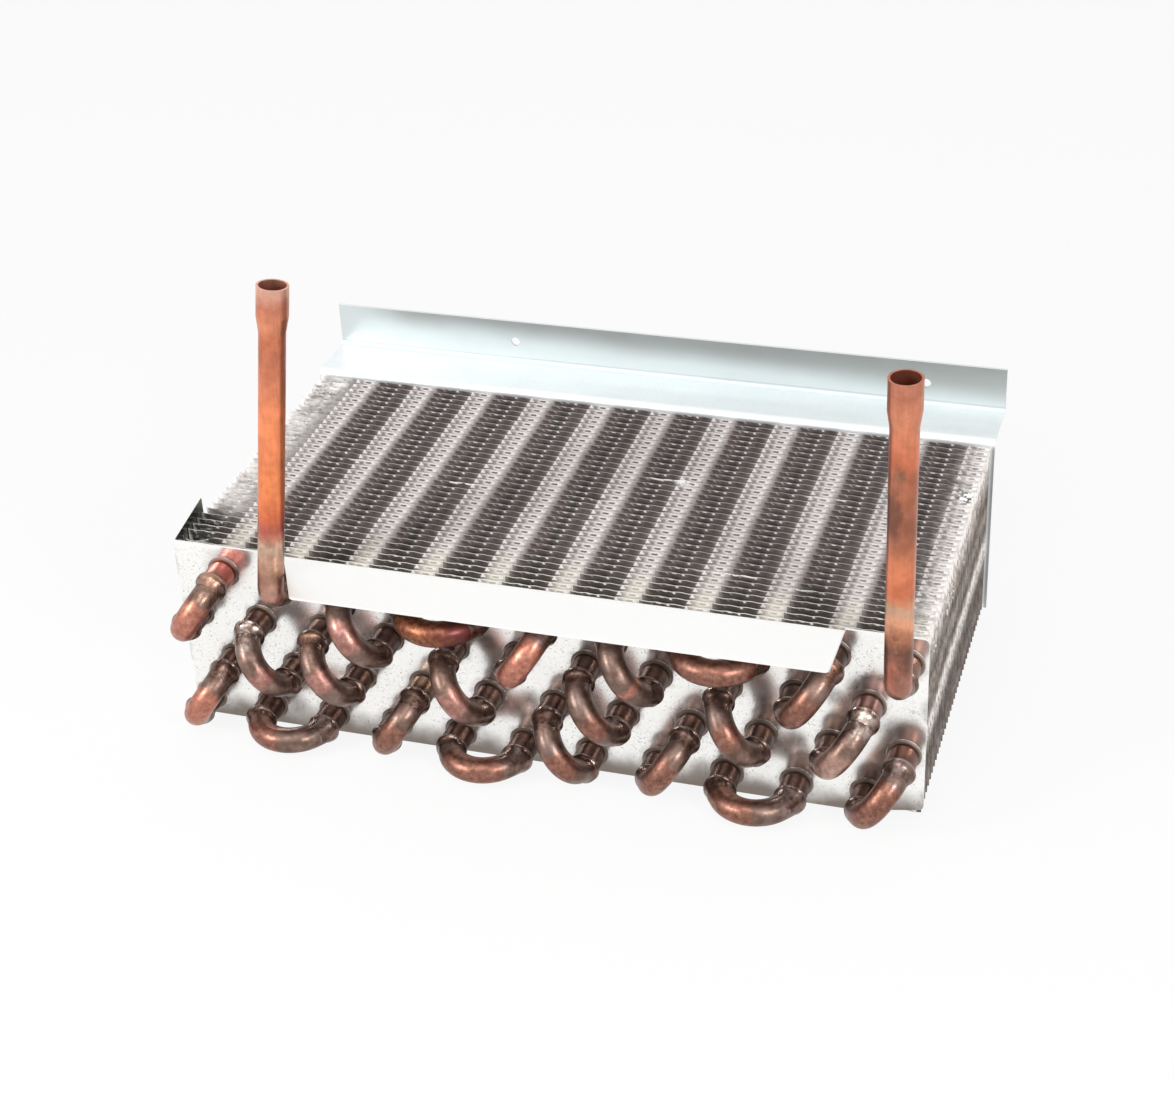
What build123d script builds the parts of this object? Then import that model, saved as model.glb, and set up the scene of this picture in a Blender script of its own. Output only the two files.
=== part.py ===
from build123d import *
from functools import lru_cache
from math import cos, radians, tan
import os

os.makedirs("parts", exist_ok=True)

# Tube pattern: rows from the bottom up, each set off by half a pitch from the next
row_names = "DCBA"
tubes_per_row = 11
tube_pitch = 25.4
row_spacing = 19.05
row_offset = 6.35  # sideways shift of each row from an even spread over the width
bottom_row_height = 8.5
top_row_margin = 10.55  # from the top row to the top of the end plates

# Copper tube
tube_od = 9.525
tube_wall = 0.41
leg_growth = 0.21  # hairpin legs are this much larger in radius, to grip the fins
joint_clearance = 0.12

# Belled ends of the hairpins, on the front side
bell_reach = 10.9  # from the front plate to a belled mouth
inlet_bell_reach = 7.9  # the bells below the two stubs differ
outlet_bell_reach = 11.5
bell_root = 2.2  # from the front plate to the shoulder inside each bell
shoulder_length = 1.2
lip_flare = 0.7
lip_length = 2.0
bend_inset = 2.5  # a return bend starts to curve this far inside its bells

# Ends of the hairpins, on the rear side
rear_straight = 6.0
rear_plain = 1.0
rear_cone = 1.5

# Fins
fin_thickness = 0.2
fin_pitch = 3.95
fin_end_gap = 2.0  # least room between an end plate and its first fin
fin_top_inset = 1.4
fin_bottom_inset = 0.4
fin_side_inset = 0.3
fin_hole_clearance = 0.1

# Folded end plates
finned_length = 139.7  # between the two plates
sheet = 1.0
fold_radius = 1.0  # inside of each fold
fold_flat = 1.0  # flat sheet between a fold and the wall's own outline
edge_radius = 2.0  # cut corners of the sheet
hole_clearance = 0.18
rim_height = 1.0
rim_wall = 0.7
rim_spread = 0.5  # a drawn rim is this much wider at its root

# Flange over the return bends
flange_depth = 25.4
flange_slant = 13.3  # how far its left end runs sideways
flange_stub_gap = 0.55
flange_right_inset = 27.9

# Tab folded back beside the fins
tab_depth = 25.4
tab_rise = 4.0
tab_tip = 1.2

# Trimmed lower corner of the front plate
corner_cut_width = 24.4
corner_cut_height = 4.5

# Shelf and upstand of the rear plate
shelf_depth = 25.4
upstand_height = 18.05
shelf_fold_radius = 1.5
tie_hole_radius = 1.9
tie_hole_spacing = 171.45
tie_hole_offset = 23.5  # middle of the pair, to the right of the coil's middle
tie_hole_height = 8.7  # above the shelf

# Stubs: height and lean go from an elbow's corner to the socket's mouth
stub_wall = 0.81
elbow_inside = 1.25
socket_clearance = 0.09
socket_depth = 11.0
socket_taper = 6.0
inlet_height = 121.1
inlet_lean = (11.05, 11.0)
outlet_height = 119.0
outlet_lean = (0.0, -2.8)

# Tubes that each piece joins, by row letter and number from the left
inlet_tube = "A2"
outlet_tube = "A11"
return_bends = """
A1-B1 A3-B4 A4-A5 A6-B6 A7-B8 A8-A9 A10-B10 B2-C2 B3-C3 B5-C5 B7-C7
B9-C9 B11-C10 C1-D1 C4-D4 C6-D7 C8-D8 C11-D11 D2-D3 D5-D6 D9-D10
""".split()
hairpins = """
A1-A2 A3-A4 A5-A6 A7-A8 A9-B9 A10-A11 B1-B2 B3-B4 B5-B6 B7-B8 B10-B11
C1-C2 C3-C4 C5-D5 C6-C7 C8-C9 C10-C11 D1-D2 D3-D4 D6-D7 D8-D9 D10-D11
""".split()

# Sizes that follow from the ones above
block_width = tubes_per_row * tube_pitch
plate_height = bottom_row_height + (len(row_names) - 1) * row_spacing + top_row_margin
left_face = -block_width / 2 - sheet
right_face = block_width / 2 + sheet
tube_radius = tube_od / 2
tube_bore = tube_radius - tube_wall
leg_radius = tube_radius + leg_growth
leg_bore = leg_radius - tube_wall
bell_bore = tube_radius + joint_clearance
bell_radius = bell_bore + tube_wall
lip_radius = bell_radius + lip_flare
elbow_radius = tube_radius + elbow_inside
hole_radius = leg_radius + hole_clearance
outer_fold = sheet + fold_radius
fold_strip = outer_fold + fold_flat

# Places along the coil, with the middle of its overall depth at y = 0
front_reach = bell_reach - bend_inset + tube_pitch / 2 + tube_radius
total_depth = front_reach + sheet + finned_length + sheet + shelf_depth
front_face = front_reach - total_depth / 2
front_inner = front_face + sheet
rear_inner = front_inner + finned_length
rear_face = rear_inner + sheet
bend_start = rear_face + rear_straight


def tube_place(name):
    """Place across and up of a tube's axis, from its row letter and number."""
    row = row_names.index(name[0])
    shift = row_offset if name[0] in "AC" else -row_offset
    middle = (tubes_per_row + 1) / 2
    return (int(name[1:]) - middle) * tube_pitch + shift, bottom_row_height + row * row_spacing


all_tubes = [row + str(number + 1) for row in row_names for number in range(tubes_per_row)]


def rounded(face, corners):
    """Round the corners of a flat face, given as (x, y, radius)."""
    for x, y, radius in corners:
        face = fillet(face.vertices().sort_by_distance((x, y))[0], radius)
    return face


def turned(points, x=0.0):
    """Turn an outline of (radius, y) points about a line along y at x."""
    outline = make_face(Polyline([(x + radius, y) for radius, y in points], close=True))
    return revolve(outline, Axis((x, 0, 0), (0, 1, 0)), 360)


def link_plane(link, depth, direction):
    """Plane through the two axes that a link joins: x across them, y along the tubes."""
    (x1, z1), (x2, z2) = (tube_place(name) for name in link.split("-"))
    across = Vector(x1 - x2, 0, z1 - z2).normalized()
    along = Vector(0, direction, 0)
    middle = Vector((x1 + x2) / 2, depth, (z1 + z2) / 2)
    return Plane(origin=middle, x_dir=across, z_dir=across.cross(along))


def link_radius(link):
    """Half the distance between the two axes that a link joins."""
    (x1, z1), (x2, z2) = (tube_place(name) for name in link.split("-"))
    return round(Vector(x1 - x2, z1 - z2).length / 2, 6)


def u_bend(radius):
    """Half ring of tube between two axes, on the +y side."""
    wall = Circle(tube_radius) - Circle(tube_bore)
    return revolve(Plane.XZ * (Pos(radius, 0) * wall), Axis.Z, 180)


def hairpin_leg(x, reach, depth):
    """Leg from the bend, at y = 0, through the coil to its belled mouth."""
    mouth = front_face - reach - bend_start
    shoulder = mouth + depth
    cone = -rear_plain - rear_cone
    return turned([
        (tube_bore, 0), (tube_radius, 0), (tube_radius, -rear_plain), (leg_radius, cone),
        (leg_radius, shoulder + shoulder_length), (bell_radius, shoulder),
        (bell_radius, mouth + lip_length), (lip_radius, mouth + lip_length * 0.2),
        (lip_radius, mouth), (lip_radius - tube_wall, mouth),
        (bell_bore, mouth + lip_length * 0.8), (bell_bore, shoulder), (leg_bore, shoulder),
        (leg_bore, cone), (tube_bore, -rear_plain),
    ], x)


@lru_cache
def hairpin_shape(radius, first_bell, second_bell):
    """Two legs and the bend that joins them behind the rear plate."""
    return u_bend(radius) + [hairpin_leg(radius, *first_bell), hairpin_leg(-radius, *second_bell)]


def bell_of(name):
    """Reach and depth of a tube's bell."""
    stub_bells = {inlet_tube: inlet_bell_reach, outlet_tube: outlet_bell_reach}
    reach = stub_bells.get(name, bell_reach)
    return reach, reach - bell_root


def hairpin(link):
    first, second = link.split("-")
    shape = hairpin_shape(link_radius(link), bell_of(first), bell_of(second))
    return link_plane(link, bend_start, 1) * shape


@lru_cache
def return_bend_shape(radius):
    """U-bend whose two ends seat on the shoulders inside the bells."""
    seat = bend_inset + bell_root - bell_reach
    end = [(tube_bore, 0), (tube_radius, 0), (tube_radius, seat), (tube_bore, seat)]
    return u_bend(radius) + [turned(end, radius), turned(end, -radius)]


def return_bend(link):
    start = front_face - bell_reach + bend_inset
    return link_plane(link, start, -1) * return_bend_shape(link_radius(link))


def riser_line(name, height, lean):
    """Corner of a stub's elbow, and the direction of its riser."""
    reach, _ = bell_of(name)
    rise = Vector(*lean, height).normalized()
    turn = Vector(0, -1, 0).get_angle(rise)
    x, z = tube_place(name)
    return Vector(x, front_face - reach - elbow_radius * tan(radians(turn / 2)), z), rise


def stub(name, height, lean):
    """Elbow, riser and swaged socket that seat in a bell of the top row."""
    reach, depth = bell_of(name)
    corner, rise = riser_line(name, height, lean)
    start = Vector(corner.X, front_face - reach + depth, corner.Z)
    neck = corner + Vector(*lean, height) - rise * (socket_depth + socket_taper)
    path = FilletPolyline(start, corner, neck, radius=elbow_radius)
    outer, inner = tube_radius, tube_radius - stub_wall
    ring = Circle(outer) - Circle(inner)
    riser = sweep(Plane(origin=start, z_dir=(0, -1, 0)) * ring, path)
    end = socket_taper + socket_depth
    bore = tube_radius + socket_clearance
    wall = Polyline(
        (inner, 0), (outer, 0), (bore + stub_wall, socket_taper), (bore + stub_wall, end),
        (bore, end), (bore, socket_taper), close=True,
    )
    wall = rounded(make_face(wall), [(bore + stub_wall, socket_taper, socket_taper / 2)])
    socket = revolve(Plane.XZ * wall, Axis.Z, 360)
    return riser + Plane(origin=neck, z_dir=rise) * socket


def fin_block():
    """Thin fins with a hole for each tube, spread evenly between the plates."""
    count = int((finned_length - 2 * fin_end_gap - fin_thickness) / fin_pitch) + 1
    height = plate_height - fin_top_inset - fin_bottom_inset
    sheet_outline = Rectangle(block_width - 2 * fin_side_inset, height)
    holes = [Pos(*tube_place(name)) * Circle(leg_radius + fin_hole_clearance) for name in all_tubes]
    outline = Pos(0, fin_bottom_inset + height / 2) * sheet_outline - holes
    fin = extrude(Plane.XZ * outline, -fin_thickness)
    first = (front_inner + rear_inner - (count - 1) * fin_pitch - fin_thickness) / 2
    return Compound([Pos(0, first + number * fin_pitch, 0) * fin for number in range(count)])


def drawn_rims(depth, direction):
    """Rims that stand out of a plate's face around its tube holes."""
    rim = turned([
        (hole_radius, 0), (hole_radius + rim_wall + rim_spread, 0),
        (hole_radius + rim_wall, direction * rim_height), (hole_radius, direction * rim_height),
    ])
    return [Pos(x, depth, z) * rim for x, z in map(tube_place, all_tubes)]


def tube_drills(face):
    """Cutters for the tube holes of a plate whose front is at a face."""
    drill = extrude(Plane.XZ * Circle(hole_radius), -sheet)
    return [Pos(x, face, z) * drill for x, z in map(tube_place, all_tubes)]


def front_flange():
    """Flange that stands out over the return bends, its left end cut past the left stub."""
    corner, rise = riser_line(inlet_tube, inlet_height, inlet_lean)
    beside = corner + rise * ((plate_height - corner.Z) / rise.Z)
    slope = flange_slant / flange_depth
    side_gap = (tube_radius + flange_stub_gap) * (1 + slope ** 2) ** 0.5
    left = beside.X + side_gap - (front_face - beside.Y) * slope
    right = right_face - sheet - flange_right_inset
    edge = front_face - flange_depth
    top = plate_height
    section = make_face(Polyline(
        (front_face, top - fold_strip), (front_inner, top - fold_strip), (front_inner, top),
        (edge, top), (edge, top - sheet), (front_face, top - sheet), close=True,
    ))
    section = rounded(section, [
        (front_inner, top, outer_fold), (front_face, top - sheet, fold_radius),
    ])
    plan = make_face(Polyline(
        (left, front_inner), (right, front_inner), (right, edge),
        (left + flange_slant, edge), (left, front_face), close=True,
    ))
    plan = rounded(plan, [(right, edge, edge_radius), (left + flange_slant, edge, edge_radius)])
    strip = extrude(Plane.YZ * section, right - left)
    return Pos(left, 0, 0) * strip & extrude(plan, top), left, right


def side_tab():
    """Tab folded back beside the fins, its top edge rising to the rear."""
    tip = front_face + tab_depth
    section = make_face(Polyline(
        (left_face, front_face), (left_face + fold_strip, front_face),
        (left_face + fold_strip, front_inner), (left_face + sheet, front_inner),
        (left_face + sheet, tip), (left_face, tip), close=True,
    ))
    section = rounded(section, [
        (left_face, front_face, outer_fold), (left_face + sheet, front_inner, fold_radius),
    ])
    side = make_face(Polyline(
        (front_face, 0), (tip, 0), (tip, plate_height + tab_rise),
        (tip - tab_tip, plate_height + tab_rise), (front_face + outer_fold, plate_height),
        (front_face, plate_height), close=True,
    ))
    profile = Pos(left_face, 0, 0) * extrude(Plane.YZ * side, fold_strip)
    return extrude(section, plate_height + tab_rise) & profile


def front_plate():
    """Wall with drawn holes, a flange over the bends and a tab beside the fins."""
    flange, flange_left, flange_right = front_flange()
    left = left_face + fold_strip
    outline = make_face(Polyline(
        (left, 0), (right_face - corner_cut_width, 0), (right_face, corner_cut_height),
        (right_face, plate_height), (flange_right, plate_height),
        (flange_right, plate_height - fold_strip), (flange_left, plate_height - fold_strip),
        (flange_left, plate_height), (left, plate_height), close=True,
    ))
    outline = rounded(outline, [
        (right_face, corner_cut_height, edge_radius), (right_face, plate_height, edge_radius),
    ])
    plate = Pos(0, front_face, 0) * extrude(Plane.XZ * outline, -sheet) + [flange, side_tab()]
    return plate - tube_drills(front_face) + drawn_rims(front_face, -1)


def rear_plate():
    """Wall with drawn holes, a shelf to the rear and an upstand with two tie holes."""
    back = rear_face + shelf_depth
    top = plate_height + upstand_height
    low = plate_height - sheet - shelf_fold_radius - fold_flat
    wall = Pos(0, low / 2) * Rectangle(right_face - left_face, low)
    wall = Pos(0, rear_inner, 0) * extrude(Plane.XZ * wall, -sheet)
    section = make_face(Polyline(
        (rear_inner, low), (rear_face, low), (rear_face, plate_height - sheet),
        (back, plate_height - sheet), (back, top), (back - sheet, top),
        (back - sheet, plate_height), (rear_inner, plate_height), close=True,
    ))
    section = rounded(section, [
        (rear_face, plate_height - sheet, shelf_fold_radius),
        (rear_inner, plate_height, shelf_fold_radius + sheet),
        (back, plate_height - sheet, shelf_fold_radius + sheet),
        (back - sheet, plate_height, shelf_fold_radius),
    ])
    shelf = Pos(left_face, 0, 0) * extrude(Plane.YZ * section, right_face - left_face)
    drill = Rot(90, 0, 0) * Cylinder(tie_hole_radius, 4 * sheet)
    for side in (-1, 1):
        x = tie_hole_offset + side * tie_hole_spacing / 2
        shelf = shelf - Pos(x, back - sheet / 2, plate_height + tie_hole_height) * drill
    return wall + shelf - tube_drills(rear_inner) + drawn_rims(rear_face, 1)


nodes = {
    "front_end_plate": front_plate(),
    "rear_end_plate": rear_plate(),
    "fin_pack": fin_block(),
    "inlet_stub": stub(inlet_tube, inlet_height, inlet_lean),
    "outlet_stub": stub(outlet_tube, outlet_height, outlet_lean),
}
for number, link in enumerate(hairpins, 1):
    nodes[f"hairpin_{number:02d}"] = hairpin(link)
for number, link in enumerate(return_bends, 1):
    nodes[f"return_bend_{number:02d}"] = return_bend(link)

for name, shape in nodes.items():
    export_step(shape, f"parts/{name}.step")
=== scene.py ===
# %% [markdown]
# # Dressing a finned condenser coil
#
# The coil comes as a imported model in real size: two folded steel end plates, a block of thin fins, bent
# copper tubes and two upright stubs. That model is the frame. We load it, keep the nodes whose shape is
# right, and give each one a finish made from nodes. Only what the frame keeps plain gets a new mesh: the
# rippled fins, their collars and the brazed joints.

# %% Load the frame
import bpy
import math
import numpy as np
from mathutils import Matrix, Vector


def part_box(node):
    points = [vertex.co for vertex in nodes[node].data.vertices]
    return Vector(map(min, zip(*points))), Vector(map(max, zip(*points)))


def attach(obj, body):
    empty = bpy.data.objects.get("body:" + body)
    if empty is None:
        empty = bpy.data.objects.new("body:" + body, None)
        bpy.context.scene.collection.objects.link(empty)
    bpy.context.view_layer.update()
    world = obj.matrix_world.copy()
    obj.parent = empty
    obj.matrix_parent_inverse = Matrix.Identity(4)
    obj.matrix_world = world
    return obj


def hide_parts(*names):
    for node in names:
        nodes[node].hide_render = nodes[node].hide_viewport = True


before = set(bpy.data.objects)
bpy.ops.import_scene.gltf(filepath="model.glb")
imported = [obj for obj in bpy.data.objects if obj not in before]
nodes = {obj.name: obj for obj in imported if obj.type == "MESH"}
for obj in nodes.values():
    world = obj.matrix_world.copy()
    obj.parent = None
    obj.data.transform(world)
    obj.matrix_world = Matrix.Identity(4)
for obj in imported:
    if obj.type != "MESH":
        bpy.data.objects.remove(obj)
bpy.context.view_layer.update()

# %% [markdown]
# ## The sizes we build on
#
# Every new piece sits on the tubes, so we repeat the tube pattern here: four rows, eleven tubes in each,
# every second row set off sideways by half a pitch. Blender works in metres. We think in millimetres and
# convert once, with `MM`. The front plate's face comes from the frame, through the first fin.

# %% Tube pattern and places
MM = 0.001
PITCH, ROW, ROW_OFFSET = 25.4, 19.05, 6.35
WIDTH, TOP = 279.4, 76.2  # width of the block, height of the plates
SIDE, UPSTAND_TOP = 140.7, 94.25  # the plates' sides, and the rear plate's highest edge
ROW_HEIGHT = {row: 8.5 + n * ROW for n, row in enumerate("DCBA")}
FIN_PITCH, FINS, FIN_SHEET = 3.95, 35, 0.2
FIN_TOP, FIN_BOTTOM, FIN_END = 74.8, 0.4, 139.4
FIRST_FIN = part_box("fin_pack")[0][1] / MM
FRONT = FIRST_FIN - 3.6  # outer face of the front plate
BELL_REACH, BEND_INSET = 10.9, 2.5
RIPPLE, RIPPLE_DEPTH, RIPPLE_START = PITCH / 4, 0.22, 4.65
rng = np.random.default_rng(11)


def tube_at(name):
    """Place across and up of a tube's axis, such as A1, in millimetres."""
    shift = ROW_OFFSET if name[0] in "AC" else -ROW_OFFSET
    return (int(name[1:]) - 6) * PITCH + shift, ROW_HEIGHT[name[0]]


TUBES = [row + str(n) for row in "ABCD" for n in range(1, 12)]
print("tube A1 at", tube_at("A1"), "and D11 at", tube_at("D11"), "front face at y", round(FRONT, 2))

# %% [markdown]
# ## Camera
#
# The photograph was taken from above and a little to the right. A camera fitted to the tube pattern gave
# the angles, the distance in metres and the focal length in pixels below. The slight roll is real: the
# picture's uprights lean.

# %% Camera
azimuth, elevation, roll = (math.radians(a) for a in (18.89, 31.6, -2.98))
distance, focal_pixels, picture_width = 0.7959, 2307.22, 1174
target = Vector((21.13, FRONT, 95.03)) * MM
back = Vector((
    math.sin(azimuth) * math.cos(elevation),
    -math.cos(azimuth) * math.cos(elevation),
    math.sin(elevation),
))
side = (-back).cross(Vector((0, 0, 1))).normalized()
up = side.cross(-back)
right = side * math.cos(roll) + up * math.sin(roll)
above = up * math.cos(roll) - side * math.sin(roll)
lens = bpy.data.cameras.new("camera")
lens.sensor_width = 36.0
lens.lens = 36.0 * focal_pixels / picture_width
lens.clip_start, lens.clip_end = 0.05, 20
camera = bpy.data.objects.new("camera", lens)
turn = Matrix((right, above, back)).transposed().to_4x4()
camera.matrix_world = Matrix.Translation(target + back * distance) @ turn
bpy.context.scene.collection.objects.link(camera)
bpy.context.scene.camera = camera
print("camera", [round(c, 3) for c in camera.location], "lens", round(lens.lens, 2), "mm")

# %% [markdown]
# ## Shader maths in plain Python
#
# A finish here is a sum of small patterns: noise, stains that follow a height, rings round the tubes.
# Wiring them by hand hides the idea, so one small class wraps a socket. Adding or multiplying two wrapped
# sockets makes the Math node for us, and `1 - mask` works too. Any other node comes from `node`.


# %% A socket that Python can calculate with
class Field:
    """A value that varies over a surface: one output socket of a material's nodes."""

    def __init__(self, tree, socket=None):
        self.tree, self.socket = tree, socket

    def node(self, kind, sockets=None, out=0, stops=None, **settings):
        """Any node: its settings first, then the values or links of its sockets."""
        made = self.tree.nodes.new(kind)
        for name, value in settings.items():
            setattr(made, name, value)
        if stops:
            ramp = made.color_ramp.elements
            while len(ramp) < len(stops):
                ramp.new(1.0)
            for element, (place, tone) in zip(ramp, stops):
                element.position = place
                element.color = (*tone, 1) if isinstance(tone, tuple) else (tone, tone, tone, 1)
        for name, value in (sockets or {}).items():
            if isinstance(value, Field):
                self.tree.links.new(value.socket, made.inputs[name])
            else:
                made.inputs[name].default_value = value
        return Field(self.tree, made.outputs[out])

    def math(self, operation, *values):
        return self.node("ShaderNodeMath", dict(enumerate((self, *values))), operation=operation)

    def __add__(self, other):
        return self.math("ADD", other)

    def __sub__(self, other):
        return self.math("SUBTRACT", other)

    def __mul__(self, other):
        return self.math("MULTIPLY", other)

    def __truediv__(self, other):
        return self.math("DIVIDE", other)

    def __mod__(self, other):
        return self.math("FLOORED_MODULO", other)

    def __rsub__(self, other):
        return self * -1 + other

    def __neg__(self):
        return self * -1

    def __abs__(self):
        return self.math("ABSOLUTE")

    __radd__ = __add__
    __rmul__ = __mul__

    def rise(self, low, high):
        """0 below low, 1 above high, and smooth between; low above high turns it round."""
        places = {"Value": self, "From Min": low, "From Max": high}
        return self.node("ShaderNodeMapRange", places, interpolation_type="SMOOTHSTEP")

    def near(self, middle, reach, core=0.0):
        """1 within core of a middle value, and down to 0 at reach."""
        return abs(self - middle).rise(reach, core)

    def ramp(self, *stops):
        return self.node("ShaderNodeValToRGB", {"Fac": self}, stops=stops)

    def blend(self, first, second):
        """Colour that goes from first to second as this value goes from 0 to 1."""
        first, second = ((*c, 1) if isinstance(c, tuple) else c for c in (first, second))
        return self.node("ShaderNodeMix", {0: self, 6: first, 7: second}, out=2, data_type="RGBA")

    def shade(self, colour):
        """A colour made darker or lighter by this value."""
        grey = self.node("ShaderNodeCombineColor", {0: self, 1: self, 2: self})
        sockets = {0: 1.0, 6: (*colour, 1) if isinstance(colour, tuple) else colour, 7: grey}
        return self.node("ShaderNodeMix", sockets, out=2, data_type="RGBA", blend_type="MULTIPLY")


print("shader maths ready")

# %% [markdown]
# ## Starting a finish
#
# A finish starts from the place on the object, in millimetres. Each piece of this coil sits at the
# frame's origin, so the texture coordinate called Object is the place in the row frame. That keeps a
# pattern tied to the metal whichever way the camera turns.


# %% Start and end of every finish
def finish(name, metallic=1.0, roughness=0.4):
    """A new material: returns it, the place in mm and a function that links the closing values."""
    material = bpy.data.materials.new(name)
    material.use_nodes = True
    tree = material.node_tree
    shader = tree.nodes["Principled BSDF"]
    shader.inputs["Metallic"].default_value = metallic
    shader.inputs["Roughness"].default_value = roughness
    start = Field(tree)
    place = start.node("ShaderNodeTexCoord", out="Object")
    place = place.node("ShaderNodeVectorMath", {0: place, 3: 1 / MM}, operation="SCALE")

    def close(**links):
        for socket, value in links.items():
            tree.links.new(value.socket, shader.inputs[socket.replace("_", " ")])

    return material, place, close


def axes(place):
    return [place.node("ShaderNodeSeparateXYZ", {0: place}, out=n) for n in range(3)]


def facing(place):
    """The surface's own direction, as three values."""
    normal = place.node("ShaderNodeNewGeometry", out="Normal")
    return axes(normal)


print("one mm on the object is", MM, "in Blender's units")

# %% [markdown]
# Three patterns serve every finish: clouds of a chosen size, a soft ball round a point, and relief that
# only tilts the light. All of them take their sizes in millimetres. `dress` puts a finish on a piece.


# %% Patterns
def noise(place, size, detail=3.0, rough=0.5, stretch=(1, 1, 1), shift=0.0):
    """Cloudy pattern, 0 to 1, whose clouds are about size mm across."""
    moved = {"Vector": place, "Scale": stretch, "Location": (shift, shift, shift)}
    scaled = place.node("ShaderNodeMapping", moved)
    sockets = {"Vector": scaled, "Scale": 1 / size, "Detail": detail, "Roughness": rough}
    return place.node("ShaderNodeTexNoise", sockets)


def spot(place, centre, reach, core=0.0):
    """1 within core of a point, in mm, and down to 0 at reach."""
    sockets = {0: place, 1: centre}
    distance = place.node("ShaderNodeVectorMath", sockets, out="Value", operation="DISTANCE")
    return distance.rise(reach, core)


def relief(height, strength, depth):
    return height.node("ShaderNodeBump", {"Height": height, "Strength": strength, "Distance": depth * MM})


def dress(piece, material):
    piece.data.materials.clear()
    piece.data.materials.append(material)


print("patterns ready: clouds, soft balls and relief")

# %% [markdown]
# ## Studio
#
# A plain pale floor, a white world and soft lamps. The floor is seen as white, as the photograph's ground
# is, but part of it stays a real matt surface, so that the coil keeps a faint shadow.


# %% Floor
def seen_share(start):
    """1 for rays that the eye or a reflection sees, and 0 for light that falls on things."""
    kinds = ("Camera", "Glossy", "Transmission")
    camera_ray, glossy, through = (
        start.node("ShaderNodeLightPath", out="Is " + kind + " Ray") for kind in kinds
    )
    return (camera_ray + glossy + through).math("MINIMUM", 1.0)


def paper_floor():
    mesh = bpy.data.meshes.new("floor")
    corners = [(-3, -3, 0), (3, -3, 0), (3, 3, 0), (-3, 3, 0)]
    mesh.from_pydata(corners, [], [(0, 1, 2, 3)])
    floor = bpy.data.objects.new("floor", mesh)
    floor.location.z = -0.0002
    bpy.context.scene.collection.objects.link(floor)
    material = finish("paper_floor", metallic=0.0, roughness=0.9)[0]
    tree = material.node_tree
    matt = tree.nodes["Principled BSDF"]
    matt.inputs["Base Color"].default_value = (0.88, 0.88, 0.88, 1)
    start = Field(tree)
    white = start.node("ShaderNodeEmission", {"Color": (1, 1, 1, 1), "Strength": 1.0})
    share = seen_share(start) * 0.88
    joined = start.node("ShaderNodeMixShader", {0: share, 1: Field(tree, matt.outputs[0]), 2: white})
    tree.links.new(joined.socket, tree.nodes["Material Output"].inputs["Surface"])
    dress(floor, material)


paper_floor()
print("floor laid just below the coil")

# %% [markdown]
# The world looks white to the eye and in reflections, but it lights the coil with half that strength, so
# the shades between the tubes stay deep. Two low lamps, left and right, throw the bends' soft shadows
# sideways onto the front plate, and one above lights the fins.


# %% World and lamps
def white_world(strength):
    world = bpy.data.worlds.new("studio")
    bpy.context.scene.world = world
    world.use_nodes = True
    tree = world.node_tree
    soft = tree.nodes["Background"]
    soft.inputs["Color"].default_value = (1, 1, 1, 1)
    soft.inputs["Strength"].default_value = strength
    start = Field(tree)
    seen = start.node("ShaderNodeBackground", {"Color": (1, 1, 1, 1), "Strength": 1.0})
    sockets = {0: seen_share(start), 1: Field(tree, soft.outputs[0]), 2: seen}
    joined = start.node("ShaderNodeMixShader", sockets)
    tree.links.new(joined.socket, tree.nodes["World Output"].inputs["Surface"])


def lamp(name, place, size, power):
    light = bpy.data.lights.new(name, "AREA")
    light.shape, light.size, light.size_y, light.energy = "RECTANGLE", *size, power
    item = bpy.data.objects.new(name, light)
    item.location = place
    aim = Vector((0, 0, 0.04)) - Vector(place)
    item.rotation_euler = aim.to_track_quat("-Z", "Y").to_euler()
    bpy.context.scene.collection.objects.link(item)


white_world(0.50)
lamp("left_lamp", (-0.72, -0.80, 0.55), (0.30, 0.30), 6.3)
lamp("right_lamp", (0.80, -0.78, 0.60), (0.30, 0.30), 5.4)
lamp("top_lamp", (0.0, -0.75, 0.95), (0.5, 0.5), 2.8)
bpy.context.scene.view_settings.view_transform = "Standard"
print("white world and three lamps")

# %% [markdown]
# ## Galvanised sheet
#
# Both end plates are zinc-coated steel: nearly white, faintly clouded, with dark specks. Zinc is a dull
# mirror, and the soft dark shapes beside the tubes are their images. Painted shapes would stay behind when
# the eye moves, so the sheet is metallic and fairly smooth, and the render finds the images by itself.
#
# Smoke with painted shadows, and dirty rims, follow the tubes, so they need the distance to the nearest one.
# The tubes stand in two plain grids, so two modulo sums and a minimum give it everywhere at once.


# %% Zinc, and the distance to a tube
def tube_distance(x, z):
    """Distance in mm from a place on the plate to the nearest tube's axis."""
    nearest = None
    for row, shift in (("D", -ROW_OFFSET), ("C", ROW_OFFSET)):
        across = (x - (shift - PITCH / 2)) % PITCH - PITCH / 2
        upward = (z - (ROW_HEIGHT[row] - ROW)) % (2 * ROW) - ROW
        length = (across * across + upward * upward).math("SQRT")
        nearest = length if nearest is None else nearest.math("MINIMUM", length)
    return nearest


def zinc(place, low, high, dirt=1.0):
    """Cloudy zinc with dark specks, where dirt is 1: its colour."""
    cloud = noise(place, 16, detail=4)
    tone = cloud.blend(low, high)
    tone = (noise(place, 1.3, detail=2) * 0.10 + 0.95).shade(tone)
    specks = noise(place, 0.75, detail=2, shift=5.0).rise(0.63, 0.69) * noise(place, 9).rise(0.42, 0.56)
    return (specks * dirt * 0.55).blend(tone, (0.16, 0.14, 0.12))


print("the two grids of tubes repeat every", round(2 * ROW, 2), "mm up and", PITCH, "mm across")
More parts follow.
